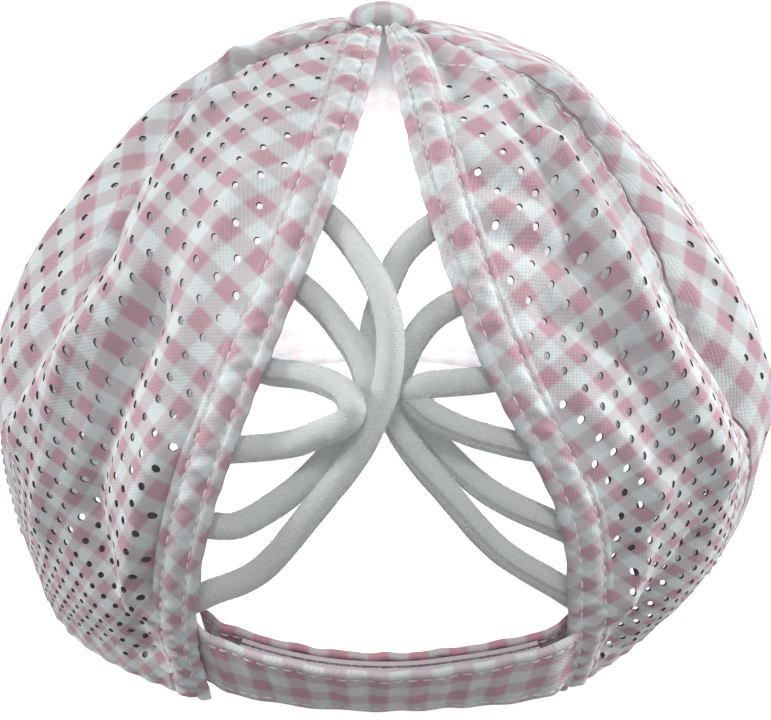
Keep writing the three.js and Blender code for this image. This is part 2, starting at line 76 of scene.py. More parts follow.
LEVELS = {
    "height": (0.985, 1, 0.93, 0.8, 0.6, 0.38, 0.16, 0),
    "left": (0, 0.12, 0.385, 0.636, 0.868, 0.999, 0.976, 0.925),
    "right": (0, 0.15, 0.446, 0.631, 0.869, 1.008, 0.958, 0.781),
    "back": (0, 0.127, 0.435, 0.722, 0.923, 1.01, 0.979, 0.896),
    "front": (0, 0.14, 0.44, 0.72, 0.9, 0.99, 1, 0.97),
    "split_left": (0, 1.5, 5, 8.7, 14.2, 19.2, 23, 24),
    "split_right": (1, 3.5, 5, 7.3, 12.3, 19.8, 23, 25.5),
    "seam_left": (60, 62, 66, 57, 52, 60, 64, 63),
    "seam_right": (58, 55, 55, 53, 50, 56, 60, 60),
}

# Folds: side, angle and level of three points, then lift and half width
# as shares of the crown's half width
FOLDS = (
    ("left", 52, 0.33, 37, 0.52, 52, 0.7, 0.042, 0.075),
    ("left", 66, 0.33, 52, 0.52, 61, 0.69, -0.045, 0.06),
    ("left", 78, 0.28, 72, 0.5, 76, 0.66, 0.035, 0.09),
    ("left", 33, 0.54, 34, 0.63, 38, 0.76, -0.032, 0.06),
    ("left", 26, 0.66, 29, 0.75, 33, 0.85, 0.03, 0.05),
    ("left", 37, 0.8, 34, 0.87, 32, 0.93, -0.035, 0.06),
    ("right", 37, 0.38, 36, 0.55, 45, 0.72, 0.045, 0.07),
    ("right", 47, 0.3, 45, 0.5, 54, 0.68, -0.034, 0.05),
    ("right", 60, 0.3, 60, 0.5, 66, 0.7, 0.03, 0.07),
    ("right", 30, 0.2, 27, 0.24, 22, 0.28, -0.03, 0.045),
    ("right", 39, 0.68, 32, 0.75, 30, 0.84, 0.036, 0.045),
    ("right", 42, 0.8, 37, 0.86, 33, 0.92, -0.036, 0.05),
)

# Soft creases of the thin cloth, in the same terms
CREASES = (
    ("left", 33, 0.54, 35, 0.63, 39, 0.75, -0.024, 0.035),
    ("left", 20, 0.64, 24, 0.73, 28, 0.82, -0.034, 0.04),
    ("left", 43, 0.6, 45, 0.7, 49, 0.8, 0.02, 0.04),
    ("left", 25, 0.4, 27, 0.5, 27, 0.58, 0.018, 0.045),
    ("left", 45, 0.28, 43, 0.4, 47, 0.5, -0.018, 0.04),
    ("right", 33, 0.33, 31, 0.5, 34, 0.6, -0.028, 0.032),
    ("right", 12, 0.38, 18, 0.4, 26, 0.42, -0.02, 0.03),
    ("right", 14, 0.45, 22, 0.47, 30, 0.49, -0.022, 0.028),
    ("right", 22, 0.53, 28, 0.56, 34, 0.59, -0.022, 0.028),
    ("right", 39, 0.69, 34, 0.74, 29, 0.79, -0.022, 0.032),
    ("right", 24, 0.62, 30, 0.67, 33, 0.72, 0.018, 0.035),
)

CHECKS = {
    "left": ((12.8537, 1.7343, 7.1942, -1.2778, 2.0656, -0.0487),
             (4.3133, -4.8895, 5.766, -1.6213, -0.4475, 0.2557)),
    "right": ((13.8373, 1.5019, 7.645, -1.1841, 1.5102, 0.8294),
              (5.0987, -4.7067, 5.8525, -1.4028, 0.6168, 1.5389)),
}

CHECKS_STRAIGHT = 0.15

# The rows of holes, counted along both yarns from the checks: share of the first,
# of the second, and start
HOLES = {
    "left": ((1.539, 0.04, 0.349), (0.01, 1.529, 0.232)),
    "right": ((1.519, 0.03, -0.236), (0.01, 1.569, -0.096)),
}

# Each cord over the split: across from -1 at the left hem to 1 at the right hem, level down the crown,
# and the distance outwards in cord diameters
CORDS = {
    "cord_left_outer": (
        (-1, 0.424, 0), (-0.44, 0.456, -0.44), (-0.13, 0.483, -0.02), (0.06, 0.508, 0.33),
        (0.15, 0.535, 0.57), (0.15, 0.565, 0.72), (0.08, 0.597, 0.74), (-0.04, 0.627, 0.59),
        (-0.18, 0.66, 0.35), (-0.41, 0.712, 0.02), (-0.68, 0.79, -0.41), (-1, 0.83, 0)),
    "cord_left_middle": (
        (-1, 0.497, 0), (-0.58, 0.519, -0.64), (-0.33, 0.541, -0.42), (-0.16, 0.562, -0.25),
        (-0.08, 0.582, -0.18), (-0.07, 0.6, -0.24), (-0.15, 0.622, -0.44), (-0.31, 0.655, -0.63),
        (-0.56, 0.702, -0.77), (-0.84, 0.741, -0.84), (-1, 0.743, 0)),
    "cord_left_inner": (
        (-1, 0.576, 0), (-0.62, 0.583, -0.13), (-0.36, 0.593, 0.56), (-0.22, 0.604, 1.08),
        (-0.19, 0.617, 1.32), (-0.27, 0.628, 1.08), (-0.38, 0.634, 0.54), (-0.59, 0.647, -0.14),
        (-1, 0.655, 0)),
    "cord_right_outer": (
        (1, 0.434, 0), (0.46, 0.458, -0.93), (0.22, 0.481, -0.99), (0.07, 0.507, -1.08),
        (-0.02, 0.538, -1.17), (0, 0.567, -1.23), (0.06, 0.595, -1.19), (0.11, 0.62, -1.04),
        (0.2, 0.653, -0.88), (0.37, 0.7, -0.79), (0.63, 0.77, -0.82), (1, 0.82, 0)),
    "cord_right_middle": (
        (1, 0.51, 0), (0.66, 0.522, -1.19), (0.42, 0.541, -1.51), (0.28, 0.561, -1.85),
        (0.21, 0.58, -2.1), (0.23, 0.605, -2.06), (0.36, 0.645, -1.76), (0.62, 0.705, -1.35),
        (1, 0.74, 0)),
    "cord_right_inner": (
        (1, 0.583, 0), (0.62, 0.588, -0.61), (0.4, 0.592, -0.4), (0.31, 0.6, -0.32),
        (0.36, 0.614, -0.4), (0.6, 0.634, -0.61), (1, 0.65, 0)),
}

button_low, button_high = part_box("crown_button")
AXIS = (button_low + button_high) / 2
SHIFT = np.array([AXIS.x * 1000, AXIS.y * 1000, 0])


# The crown's surface

def level_value(column, level):
    row = np.array(LEVELS[column], float)
    through_pole = column in ("left", "right", "back", "front")
    first = -row[1] if through_pole else row[1]
    row = np.concatenate([[first], row, [2 * row[-1] - row[-2]]])
    place = np.clip(level, 0, 1) * (len(row) - 3)
    i = np.minimum(np.floor(place).astype(int), len(row) - 4)
    f = place - i
    a, b, c, d = row[i], row[i + 1], row[i + 2], row[i + 3]
    square = 2 * a - 5 * b + 4 * c - d
    cube = 3 * b - a - 3 * c + d
    return (2 * b + (c - a) * f + square * f**2 + cube * f**3) / 2


def plain_point(angle, level):
    angle, level = np.broadcast_arrays(np.asarray(angle, float), np.asarray(level, float))
    sine, cosine = np.sin(np.radians(angle)), np.cos(np.radians(angle))
    left, right = level_value("left", level), level_value("right", level)
    own, other = np.where(sine < 0, left, right), np.where(sine < 0, right, left)
    evenness = np.minimum(1, 1.5 * np.maximum(0, -cosine)) / 2
    half = CROWN_HALF_WIDTH * (own + (other - own) * evenness)
    back = CROWN_BACK_DEPTH * level_value("back", level)
    depth = np.where(cosine > 0, back, CROWN_FRONT_DEPTH * level_value("front", level))
    n = SECTION_SQUARENESS
    radius = ((np.abs(sine) / half) ** n + (np.abs(cosine) / depth) ** n) ** (-1 / n)
    front = np.maximum(0, -cosine) ** 2
    height = CROWN_HEIGHT * level_value("height", level) + FRONT_EDGE_LIFT * front * level**2
    return np.stack([radius * sine, -radius * cosine, height], -1)


def unit(vectors):
    return vectors / np.maximum(np.linalg.norm(vectors, axis=-1, keepdims=True), 1e-9)


def plain_normal(angle, level):
    up = plain_point(angle, np.maximum(0.02, level - 0.004))
    down = plain_point(angle, np.minimum(1, level + 0.004))
    return unit(np.cross(plain_point(angle + 1, level) - plain_point(angle - 1, level), up - down))


def plain_radius(angle, level):
    point = plain_point(angle, level)
    return np.hypot(point[..., 0], point[..., 1])


def degrees_for(length, angle, level):
    return np.degrees(length / plain_radius(angle, level))


def distance_to(x, y, start, end):
    dx, dy = end[0] - start[0], end[1] - start[1]
    share = np.clip(((x - start[0]) * dx + (y - start[1]) * dy) / (dx * dx + dy * dy), 0, 1)
    return np.hypot(x - start[0] - share * dx, y - start[1] - share * dy)


def wrap(angle):
    return (np.asarray(angle, float) + 180) % 360 - 180


def fold_sum(table, angle, level):
    """How far the folds of a table lift the cloth, in millimetres."""
    angle, level = np.broadcast_arrays(wrap(angle), np.asarray(level, float))
    scale = np.radians(plain_radius(angle, level))
    x, y = np.abs(angle) * scale, level * MERIDIAN_LENGTH
    total = np.zeros(angle.shape)
    for side, a0, l0, a1, l1, a2, l2, lift, width in table:
        points = [(a * scale, l * MERIDIAN_LENGTH) for a, l in ((a0, l0), (a1, l1), (a2, l2))]
        near = np.minimum(distance_to(x, y, *points[:2]), distance_to(x, y, *points[1:]))
        fold = lift * CROWN_HALF_WIDTH * np.exp(-((near / (width * CROWN_HALF_WIDTH)) ** 2))
        total += np.where((angle < 0) == (side == "left"), fold, 0)
    return total


def crown_point(angle, level, lift=0.0):
    lifted = fold_sum(FOLDS, angle, level) + lift
    return plain_point(angle, level) + plain_normal(angle, level) * lifted[..., None]


def split_angle(side, level):
    return level_value("split_" + side, level)


def seam_angle(side, level):
    return level_value("seam_" + side, level)


def sign_of(side):
    return -1 if side == "left" else 1


def hem_outer_angle(side, level):
    inner = split_angle(side, level)
    full = degrees_for(HEM_WIDTH, sign_of(side) * inner, level)
    return inner + np.minimum(full, (seam_angle(side, level) - inner) / 2)


# Meshes from points in millimetres about the button's axis

SHARP_FROM = 50


def make_mesh(name, points, faces, uvs, materials, kinds=None):
    mesh = bpy.data.meshes.new(name)
    places = (np.asarray(points) + SHIFT) / 1000
    mesh.from_pydata(places.tolist(), [], [list(map(int, f)) for f in faces])
    for material in materials:
        mesh.materials.append(material)
    corners = np.zeros(len(mesh.loops), np.int32)
    mesh.loops.foreach_get("vertex_index", corners)
    layer = mesh.uv_layers.new(name="cloth")
    layer.data.foreach_set("uv", np.asarray(uvs, np.float32)[corners].ravel())
    mesh.polygons.foreach_set("use_smooth", np.ones(len(mesh.polygons), bool))
    if kinds is not None:
        mesh.polygons.foreach_set("material_index", np.asarray(kinds, np.int32))
    mesh.update()
    mesh.set_sharp_from_angle(angle=math.radians(SHARP_FROM))
    thing = bpy.data.objects.new(name, mesh)
    bpy.context.scene.collection.objects.link(thing)
    return thing


def dress(thing, slot, *nodes):
    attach(thing, "root")
    if nodes:
        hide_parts(*nodes)
    return thing


def ring_faces(rows, size, closed=True):
    faces = []
    for r in range(rows - 1):
        for k in range(size if closed else size - 1):
            a, b = r * size + k, r * size + (k + 1) % size
            faces.append((a, b, b + size, a + size))
    return faces


def loft(name, rings, uvs, materials, kinds=None, caps=True):
    rows, size = rings.shape[:2]
    faces = ring_faces(rows, size)
    kind = [] if kinds is None else [kinds[k] for _ in range(rows - 1) for k in range(size)]
    if caps:
        faces += [tuple(range(size))[::-1], tuple(range((rows - 1) * size, rows * size))]
        kind += [0, 0] if kinds is not None else []
    return make_mesh(name, rings.reshape(-1, 3), faces, uvs.reshape(-1, 2), materials, kind or None)


# Puckers and small folds of the cloth

def smoothstep(value, low, high):
    share = np.clip((value - low) / (high - low), 0, 1)
    return share * share * (3 - 2 * share)


def pucker(along, period, slip=0.0):
    return np.sin(2 * np.pi * along / period + 1.3 * np.sin(along / 9.5 + slip) + slip)


def small_folds(side, arc, along):
    seed = 0.0 if side == "left" else 2.0
    fold = 0.5 * np.sin((arc * 0.9 + along * 0.3) / 6.3 + seed + 0.9 * np.sin(along / 17))
    fold += 0.2 * np.sin((arc * -0.6 + along * 0.8) / 4.4 + 2 * seed + np.sin(arc / 13))
    return fold + 0.05 * np.sin((arc * 1.2 - along * 0.4) / 1.9 + np.sin(along / 7 + seed))


def edge_distance(side, angle, level):
    """Millimetres from the split's hem and from the back seam."""
    scale = np.radians(plain_radius(angle, level))
    away = np.abs(wrap(angle))
    return (away - split_angle(side, level)) * scale, (seam_angle(side, level) - away) * scale


def cloth_lift(side, kind, angle, level, arc, along):
    hem, seam = edge_distance(side, angle, level)
    foot = (1 - level) * MERIDIAN_LENGTH
    front_seam = (SIDE_SEAM_ANGLE - np.abs(wrap(angle))) * np.radians(plain_radius(angle, level))
    fade = 1 - np.exp(-((np.minimum(np.abs(seam), np.abs(front_seam)) / 5) ** 2))
    lift = small_folds(side, arc, along) * np.clip(foot / 12, 0.2, 1) * fade
    lift = lift + fold_sum(CREASES, angle, level)
    gather = 0.3 * np.exp(-((foot / 9) ** 2)) * pucker(arc, 7.4, 1.0)
    if kind == "back":
        past_hem = hem - HEM_WIDTH
        low = smoothstep(level, 0.72, 0.86) * np.exp(-((past_hem / 9) ** 2))
        lift = lift + 0.3 * np.exp(-((past_hem / 5) ** 2)) * pucker(along, 6.6, 0.4)
        lift = lift + 0.5 * low * pucker(along, 4.9)
        lift = lift - 1.5 * np.exp(-((np.maximum(seam, 0) / 2.2) ** 2))
    if kind == "front":
        lift = lift - 0.4 * np.exp(-((front_seam / 3) ** 2))
    else:
        low = 1 - 0.7 * smoothstep(level, 0.5, 0.72)
        lift = lift + 0.35 * low * np.exp(-((seam / 6) ** 2)) * pucker(along, 7.4, 2.0)
    if kind == "side":
        away = -seam
        welt = WELT[side] * smoothstep(level, 0.1, 0.26) * (1 - smoothstep(level, 0.5, 0.72))
        ridge = np.exp(-(((away - WELT_PLACE) / WELT_HALF_WIDTH) ** 2))
        lift = lift + welt * ridge * (1 + 0.22 * pucker(along, 17, 1.0))
        lift = lift - (0.5 + 0.5 * welt) * np.exp(-((away / 1.1) ** 2))
    return lift + gather


# Panels of cloth, cut flat in (arc, along) and laid on the crown

PANELS = {"back": (0, 40), "side": (90, 90), "front": (150, 150)}


def to_cloth(side, kind, angle, level):
    centre, gauge = PANELS[kind]
    radius = plain_radius(sign_of(side) * gauge, level)
    return np.radians(np.abs(angle) - centre) * radius, level * MERIDIAN_LENGTH


def from_cloth(side, kind, arc, along):
    centre, gauge = PANELS[kind]
    level = along / MERIDIAN_LENGTH
    radius = plain_radius(sign_of(side) * gauge, level)
    return sign_of(side) * (centre + np.degrees(arc / radius)), level


def check_place(side, kind, arc, along):
    if kind == "back":
        x, y = (arc - 45) / 40, (along - 95) / 60
        bend = np.where(x > CHECKS_STRAIGHT, CHECKS_STRAIGHT * (2 * x - CHECKS_STRAIGHT), x * x)
        terms = np.stack([np.ones_like(x), x, y, bend, x * y, y * y], -1)
        return terms @ np.array(CHECKS[side]).T
    lean = math.radians(62)
    first = (arc * math.cos(lean) + along * math.sin(lean)) / (1.06 * CHECK)
    second = (-arc * math.sin(lean) + along * math.cos(lean)) / (1.06 * CHECK)
    return np.stack([first, second], -1)


def panel_edges(side, kind, level):
    if kind == "back":
        tuck = degrees_for(1.6, sign_of(side) * 30, level)
        return hem_outer_angle(side, level) - tuck, seam_angle(side, level) + tuck
    if kind == "side":
        inner = seam_angle(side, level) - degrees_for(0.2, sign_of(side) * 60, level)
        return inner, SIDE_SEAM_ANGLE + 0 * level
    inner = SIDE_SEAM_ANGLE - degrees_for(1.5, sign_of(side) * SIDE_SEAM_ANGLE, level)
    return inner, 180 + 0 * level


def panel_outline(side, kind):
    """A closed loop of (angle, level) round a panel, which starts down its inner edge."""
    share = np.linspace(0, 1, 130)
    down = TOP_LEVEL + (0.998 - TOP_LEVEL) * share
    inner, outer = panel_edges(side, kind, down)
    foot = inner[-1] + (outer[-1] - inner[-1]) * np.linspace(0, 1, 60)[1:-1]
    top = outer[0] + (inner[0] - outer[0]) * np.linspace(0, 1, 8)[1:-1]
    angles = np.concatenate([inner, foot, outer[::-1], top])
    foot_level, top_level = np.full(len(foot), down[-1]), np.full(len(top), TOP_LEVEL)
    return angles, np.concatenate([down, foot_level, down[::-1], top_level])


def inside(polygon, x, y):
    hit = np.zeros(np.shape(x), bool)
    for (ax, ay), (bx, by) in zip(polygon, np.roll(polygon, -1, axis=0)):
        spans = (ay > y) != (by > y)
        with np.errstate(divide="ignore", invalid="ignore"):
            cross = (bx - ax) * (y - ay) / (by - ay) + ax
        hit ^= spans & (x < cross)
    return hit


def hole_centres(side, kind):
    """Holes in line with the checks, kept clear of the hem, the seams, the band and the top."""
    arc, along = np.meshgrid(np.arange(-60, 110, 0.5), np.arange(14, 180, 0.5))
    arc, along = arc.ravel(), along.ravel()
    angle, level = from_cloth(side, kind, arc, along)
    first, second = check_place(side, kind, arc, along).T
    count = np.stack([a * first + b * second + start for a, b, start in HOLES[side]], -1)
    error = np.hypot(*(count - np.round(count)).T)
    hem, seam = edge_distance(side, angle, level)
    band = (1 - level) * MERIDIAN_LENGTH - BAND_HEIGHT
    around = np.abs(angle)
    if kind == "back":
        strip = 4.5 if side == "left" else 11.5
        room = (hem > 11) & (seam > strip) & (band > -3) & (level > 0.16)
    else:
        far = (SIDE_SEAM_ANGLE - around) * np.radians(plain_radius(angle, level))
        room = (seam < -9) & (far > 8) & (band > -3) & (level > 0.3)
    keys = np.round(count).astype(int)
    best = {}
    for k in np.flatnonzero(room & (error < 0.12)):
        key = (keys[k, 0], keys[k, 1])
        if key not in best or error[k] < error[best[key]]:
            best[key] = k
    chosen = np.array(sorted(best.values()))
    return np.stack([arc[chosen], along[chosen]], -1)


def flat_cut(side, kind, holes, spacing):
    """Flat points and triangles of a panel with its holes, and how many points its outline has."""
    angles, levels = panel_outline(side, kind)
    polygon = np.stack(to_cloth(side, kind, angles, levels), -1)
    low, high = polygon.min(0), polygon.max(0)
    x, y = np.meshgrid(np.arange(low[0], high[0], spacing), np.arange(low[1], high[1], spacing * 0.866))
    x = x + (np.arange(x.shape[0])[:, None] % 2) * spacing / 2
    x, y = x.ravel(), y.ravel()
    keep = inside(polygon, x, y)
    edge = np.min(np.hypot(x[:, None] - polygon[None, :, 0], y[:, None] - polygon[None, :, 1]), axis=1)
    keep &= edge > 0.6 * spacing
    points = [polygon]
    if len(holes):
        near = np.min(np.hypot(x[:, None] - holes[None, :, 0], y[:, None] - holes[None, :, 1]), axis=1)
        keep &= near > HOLE_RADIUS + 0.4 * spacing
        turn = np.arange(HOLE_CORNERS) * 2 * np.pi / HOLE_CORNERS
        circle = np.stack([np.cos(turn), np.sin(turn)], -1)
        points.append((holes[:, None, :] + HOLE_RADIUS * circle[None]).reshape(-1, 2))
    points.append(np.stack([x[keep], y[keep]], -1))
    flat = np.concatenate(points)
    size = len(polygon)
    edges = [(k, (k + 1) % size) for k in range(size)]
    for k in range(len(holes)):
        start = size + HOLE_CORNERS * k
        edges += [(start + j, start + (j + 1) % HOLE_CORNERS) for j in range(HOLE_CORNERS)]
    found = delaunay_2d_cdt([Vector(p) for p in flat.tolist()], edges, [], 0, 1e-6)
    places = np.array([tuple(p) for p in found[0]])
    faces = np.array([f for f in found[2] if len(f) == 3])
    middle = places[faces].mean(1)
    kept = inside(polygon, middle[:, 0], middle[:, 1])
    if len(holes):
        gap = np.full(len(faces), 1e9)
        for start in range(0, len(holes), 64):
            part = holes[start:start + 64]
            reach = np.hypot(middle[:, None, 0] - part[None, :, 0], middle[:, None, 1] - part[None, :, 1])
            gap = np.minimum(gap, reach.min(1))
        kept &= gap > HOLE_RADIUS * 0.97
    return places, faces[kept], size


def thick_cloth(name, side, kind, flat, faces, outline, materials):
    arc, along = flat[:, 0], flat[:, 1]
    angle, level = from_cloth(side, kind, arc, along)
    lift = cloth_lift(side, kind, angle, level, arc, along)
    outer = crown_point(angle, level, lift)
    inner = crown_point(angle, level, lift - CLOTH)
    a, b, c = (outer[faces[:, k]] for k in range(3))
    first = faces[:, 0]
    facing = np.cross(b - a, c - a) * plain_normal(angle[first], level[first])
    if facing.sum() < 0:
        faces = faces[:, ::-1]
    count = len(flat)
    pairs = np.concatenate([faces[:, [0, 1]], faces[:, [1, 2]], faces[:, [2, 0]]])
    codes = set(map(tuple, pairs.tolist()))
    border = [(p, q) for p, q in codes if (q, p) not in codes]
    walls = [(q, p, p + count, q + count) for p, q in border]
    everything = faces.tolist() + (faces[:, ::-1] + count).tolist() + walls
    # Walls round the holes take the third material, a dark grey that paints the shade inside the holes
    wall_kinds = np.array([0 if p < outline else 2 for p, q in border])
    kinds = np.concatenate([np.zeros(len(faces), int), np.ones(len(faces), int), wall_kinds])
    uvs = check_place(side, kind, arc, along)
    points, uvs = np.concatenate([outer, inner]), np.concatenate([uvs, uvs])
    return make_mesh(name, points, everything, uvs, materials, kinds)


def panel(side, kind):
    holes = hole_centres(side, kind) if kind != "front" else np.zeros((0, 2))
    spacing = 2.0 if kind != "front" else 3.0
    flat, faces, outline = flat_cut(side, kind, holes, spacing)
    materials = [GINGHAM, GINGHAM_REVERSE_PAINTED_LIGHT, CUT_EDGE_PAINTED_SHADE]
    thing = thick_cloth(f"cloth_{kind}_{side}", side, kind, flat, faces, outline, materials)
    return dress(thing, "gingham_cloth", f"{kind}_{side}_panel")


# Stitches as short rounded threads along a path

def stitch_row(name, points, normals, pitch=STITCH_PITCH, length=STITCH_LENGTH):
    steps = np.linalg.norm(np.diff(points, axis=0), axis=1)
    run = np.concatenate([[0], np.cumsum(steps)])
    middles = np.arange(pitch / 2, run[-1] - pitch / 2, pitch)
    profile = ((-0.5, 0.35, -0.9), (-0.4, 0.9, 0.0), (0, 1.0, 0.5), (0.4, 0.9, 0.0), (0.5, 0.35, -0.9))
    turn = np.arange(6) * np.pi / 3
    verts, faces = [], []
    for middle in middles:
        rings = []
        for share, girth, height in profile:
            at = middle + share * length
            centre = np.array([np.interp(at, run, points[:, k]) for k in range(3)])
            up = unit(np.array([np.interp(at, run, normals[:, k]) for k in range(3)]))
            ahead = np.array([np.interp(at + 0.3, run, points[:, k]) for k in range(3)]) - centre
            across = unit(np.cross(up, ahead + 1e-6))
            centre = centre + up * (height * STITCH_RADIUS - STITCH_SINK)
            reach = girth * STITCH_RADIUS
            rings.append([centre + reach * (np.cos(t) * across + np.sin(t) * up) for t in turn])
        start = len(verts)
        verts += [p for ring in rings for p in ring]
        faces += [tuple(start + k for k in f) for f in ring_faces(5, 6)]
    uvs = np.zeros((len(verts), 2))
    return dress(make_mesh(name, verts, faces, uvs, [THREAD]), "gingham_cloth")


# The hems along the split

def hem_frame(side, level):
    inner = split_angle(side, level)
    outer = hem_outer_angle(side, level)
    return inner, (outer - inner) / HEM_WIDTH


HEM_PROFILE = (
    (0.0, -0.9), (-0.3, -0.35), (-0.2, 0.2), (0.4, 0.75), (1.3, 1.0), (2.0, 0.8), (2.5, 0.45), (3.0, 0.8),
    (4.0, 1.2), (5.2, 1.35), (6.4, 1.2), (7.3, 0.75), (7.8, 0.35), (8.3, 0.55), (9.0, 0.5), (9.8, 0.15),
    (9.9, -0.5), (7.5, -1.3), (5.0, -1.7), (2.5, -1.5),
)


def hem_lift(side, along, across):
    slip = 0.4 if side == "left" else 1.7
    wave = pucker(along + 0.25 * across, 5.3, slip) + 0.6 * pucker(along - 0.3 * across, 3.1, slip + 1)
    strength = 0.65 + 0.35 * pucker(along, 31, slip)
    window = np.exp(-(((across - 5.1) / 2.2) ** 2)) * 0.42 + np.exp(-(((across - 0.8) / 1.0) ** 2)) * 0.2
    return wave * window * strength


def hem_point(side, level, across, lift):
    inner, per_mm = hem_frame(side, level)
    along = level * MERIDIAN_LENGTH
    wobble = 0.2 * pucker(along, 7.3, 0.3) * pucker(along, 19, 1.1) * np.exp(-((across / 1.5) ** 2))
    angle = sign_of(side) * (inner + per_mm * (across + wobble))
    return crown_point(angle, level, lift + hem_lift(side, along, across)), angle


def hem(side):
    levels = np.linspace(0.1, 1, 240)[:, None]
    across = np.array([row[0] for row in HEM_PROFILE])[None]
    lift = np.array([row[1] for row in HEM_PROFILE])[None]
    levels, across, lift = np.broadcast_arrays(levels, across, lift)
    rings, angle = hem_point(side, levels, across, lift)
    uvs = check_place(side, "back", *to_cloth(side, "back", angle, levels))
    rings[-1, :, 2] = 0.15
    thing = loft(f"cloth_hem_{side}", rings, uvs, [GINGHAM])
    dress(thing, "gingham_cloth", f"{side}_split_hem")
    line = np.linspace(0.11, 0.99, 300)
    for label, where, height in (("edge", 2.5, 0.45), ("inner", 7.8, 0.35)):
        points, angle = hem_point(side, line, np.full_like(line, where), np.full_like(line, height))
        stitch_row(f"stitches_{side}_hem_{label}", points, plain_normal(angle, line))


# The band around the head opening

BAND_PROFILE = (
    (0.0, -0.9), (0.0, -0.7), (0.5, -0.65), (0.9, -0.6), (1.0, 0.0), (1.0, -1.2), (0.93, -1.5), (0.6, -1.7),
    (0.3, -1.6), (0.05, -1.4),
)


def band_point(angle, down, lift):
    top = 1 - BAND_HEIGHT / MERIDIAN_LENGTH
    level = top + (1 - top) * down
    wave = 0.15 * pucker(np.radians(angle) * 84, 6.2, 1.0)
    point = crown_point(angle, level, lift + wave)
    edge = crown_point(angle, np.ones_like(level), 0 * lift)[..., 2]
    point[..., 2] = np.where(down >= 1, edge + 0.1, np.maximum(point[..., 2], edge + 0.1))
    return point, level


def band():
    start = -float(hem_outer_angle("left", np.array(1.0))) - 0.5
    end = float(hem_outer_angle("right", np.array(1.0))) + 0.5 - 360
    angle = np.linspace(start, end, 480)[:, None]
    down = np.array([row[0] for row in BAND_PROFILE])[None]
    lift = np.array([row[1] for row in BAND_PROFILE])[None]
    angle, down, lift = np.broadcast_arrays(angle, down, lift)
    rings, level = band_point(angle, down, lift)
    around = np.concatenate([[0], np.cumsum(np.linalg.norm(np.diff(rings[:, 4], axis=0), axis=1))])
    uvs = np.stack([around[:, None] / CHECK + 0 * level, (level - 1) * MERIDIAN_LENGTH / CHECK], -1)
    thing = loft("cloth_band", rings, uvs, [GINGHAM_REVERSE_PAINTED_LIGHT])
    dress(thing, "gingham_cloth", "bottom_band")
    line = np.linspace(start, end, 700)
    points, level = band_point(line, np.full_like(line, 0.25), np.full_like(line, -1.6))
    stitch_row("stitches_band", points, -plain_normal(line, level))


# The strap: two tabs with the hook and loop tape between them

STRAP_WIDTH = 18.4
STRAP_THICKNESS = 1.6
STRAP_LEAN = 38
STRAP_END_LEAN = 22
STRAP_STEP = 4.95
STRAP_CLEARANCE = 0.4
STRAP_END_RISE = 1.6
STRAP_TUCK = 1.5
STRAP_CHECKS = (0.25, 0.1)
STRAP_SPAN = 80
TAPE_WIDTH = 14
TAPE_THICKNESS = 0.9
TAPE_END_MARGIN = 9


def strap_point(u, v, lift):
    u, v, lift = np.broadcast_arrays(u, v, lift)
    left, right = -float(split_angle("left", np.array(1.0))), float(split_angle("right", np.array(1.0)))
    angle = left + (right - left) * u
    foot = plain_point(angle, 1.0)
    out = unit(foot * np.array([1, 1, 0]))
    sag = np.sin(np.pi * u)
    lean = np.radians(STRAP_END_LEAN + (STRAP_LEAN - STRAP_END_LEAN) * sag)
    step = STRAP_STEP * smoothstep(u, 0.62, 0.97)
    tuck = STRAP_TUCK * (1 - smoothstep(u, -0.01, 0.06) + smoothstep(u, 0.94, 1.01))
    height = STRAP_CLEARANCE + STRAP_END_RISE * (1 - sag) + np.sin(lean) * step
    lean = lean[..., None]
    up = np.array([0, 0, 1.0])
    rise = up * np.cos(lean) + out * np.sin(lean)
    normal = out * np.cos(lean) - up * np.sin(lean)
    point = foot + up * height[..., None] + rise * (v * STRAP_WIDTH)[..., None]
    return point + normal * (lift + step - tuck)[..., None], normal


TAB_PROFILE = (
    (0.0, -0.75), (0.0, 0.2), (0.02, 0.65), (0.06, 0.95), (0.12, 0.72), (0.18, 0.95),
    (0.35, 1.0), (0.65, 1.0), (0.82, 0.95), (0.88, 0.72), (0.94, 0.95), (0.98, 0.65),
    (1.0, 0.2), (1.0, -0.75), (0.7, -1.0), (0.3, -1.0),
)


def tab_wave(u, v, slip):
    length = STRAP_SPAN * u
    wave = 0.22 * pucker(length, 6.1, slip) * np.sin(np.pi * v)
    return wave + 0.15 * pucker(length + 9 * v, 11, slip)


def strap_tab(name, node, start, end, depth, slip, share=1.0):
    """One tab, whose width is a share of the strap's."""
    u = np.linspace(start, end, 150)[:, None]
    v = np.array([row[0] for row in TAB_PROFILE])[None] * share
    girth = np.array([row[1] for row in TAB_PROFILE])[None]
    wave = tab_wave(u, v, slip)
    closing = np.clip(np.minimum(u - start, end - u) / 0.012, 0.35, 1)
    middle = depth - STRAP_THICKNESS / 2
    half = STRAP_THICKNESS / 2
    rings, _ = strap_point(u, v, middle + girth * half * closing + wave)
    along = STRAP_CHECKS[0] + STRAP_SPAN * u / CHECK
    across = STRAP_CHECKS[1] + v * STRAP_WIDTH / CHECK
    uvs = np.stack([along + 0 * v, across + 0 * u], -1)
    thing = loft(name, rings, uvs, [GINGHAM_STRAP_PAINTED_LIGHT])
    dress(thing, "gingham_cloth", node)
    line = np.linspace(start + 0.01, end - 0.01, 300)
    for label, row in (("low", 0.12 * share), ("high", 0.88 * share)):
        points, normals = strap_point(line, row, middle + 0.72 * half + tab_wave(line, row, slip))
        stitch_row(f"stitches_{name}_{label}", points, normals)


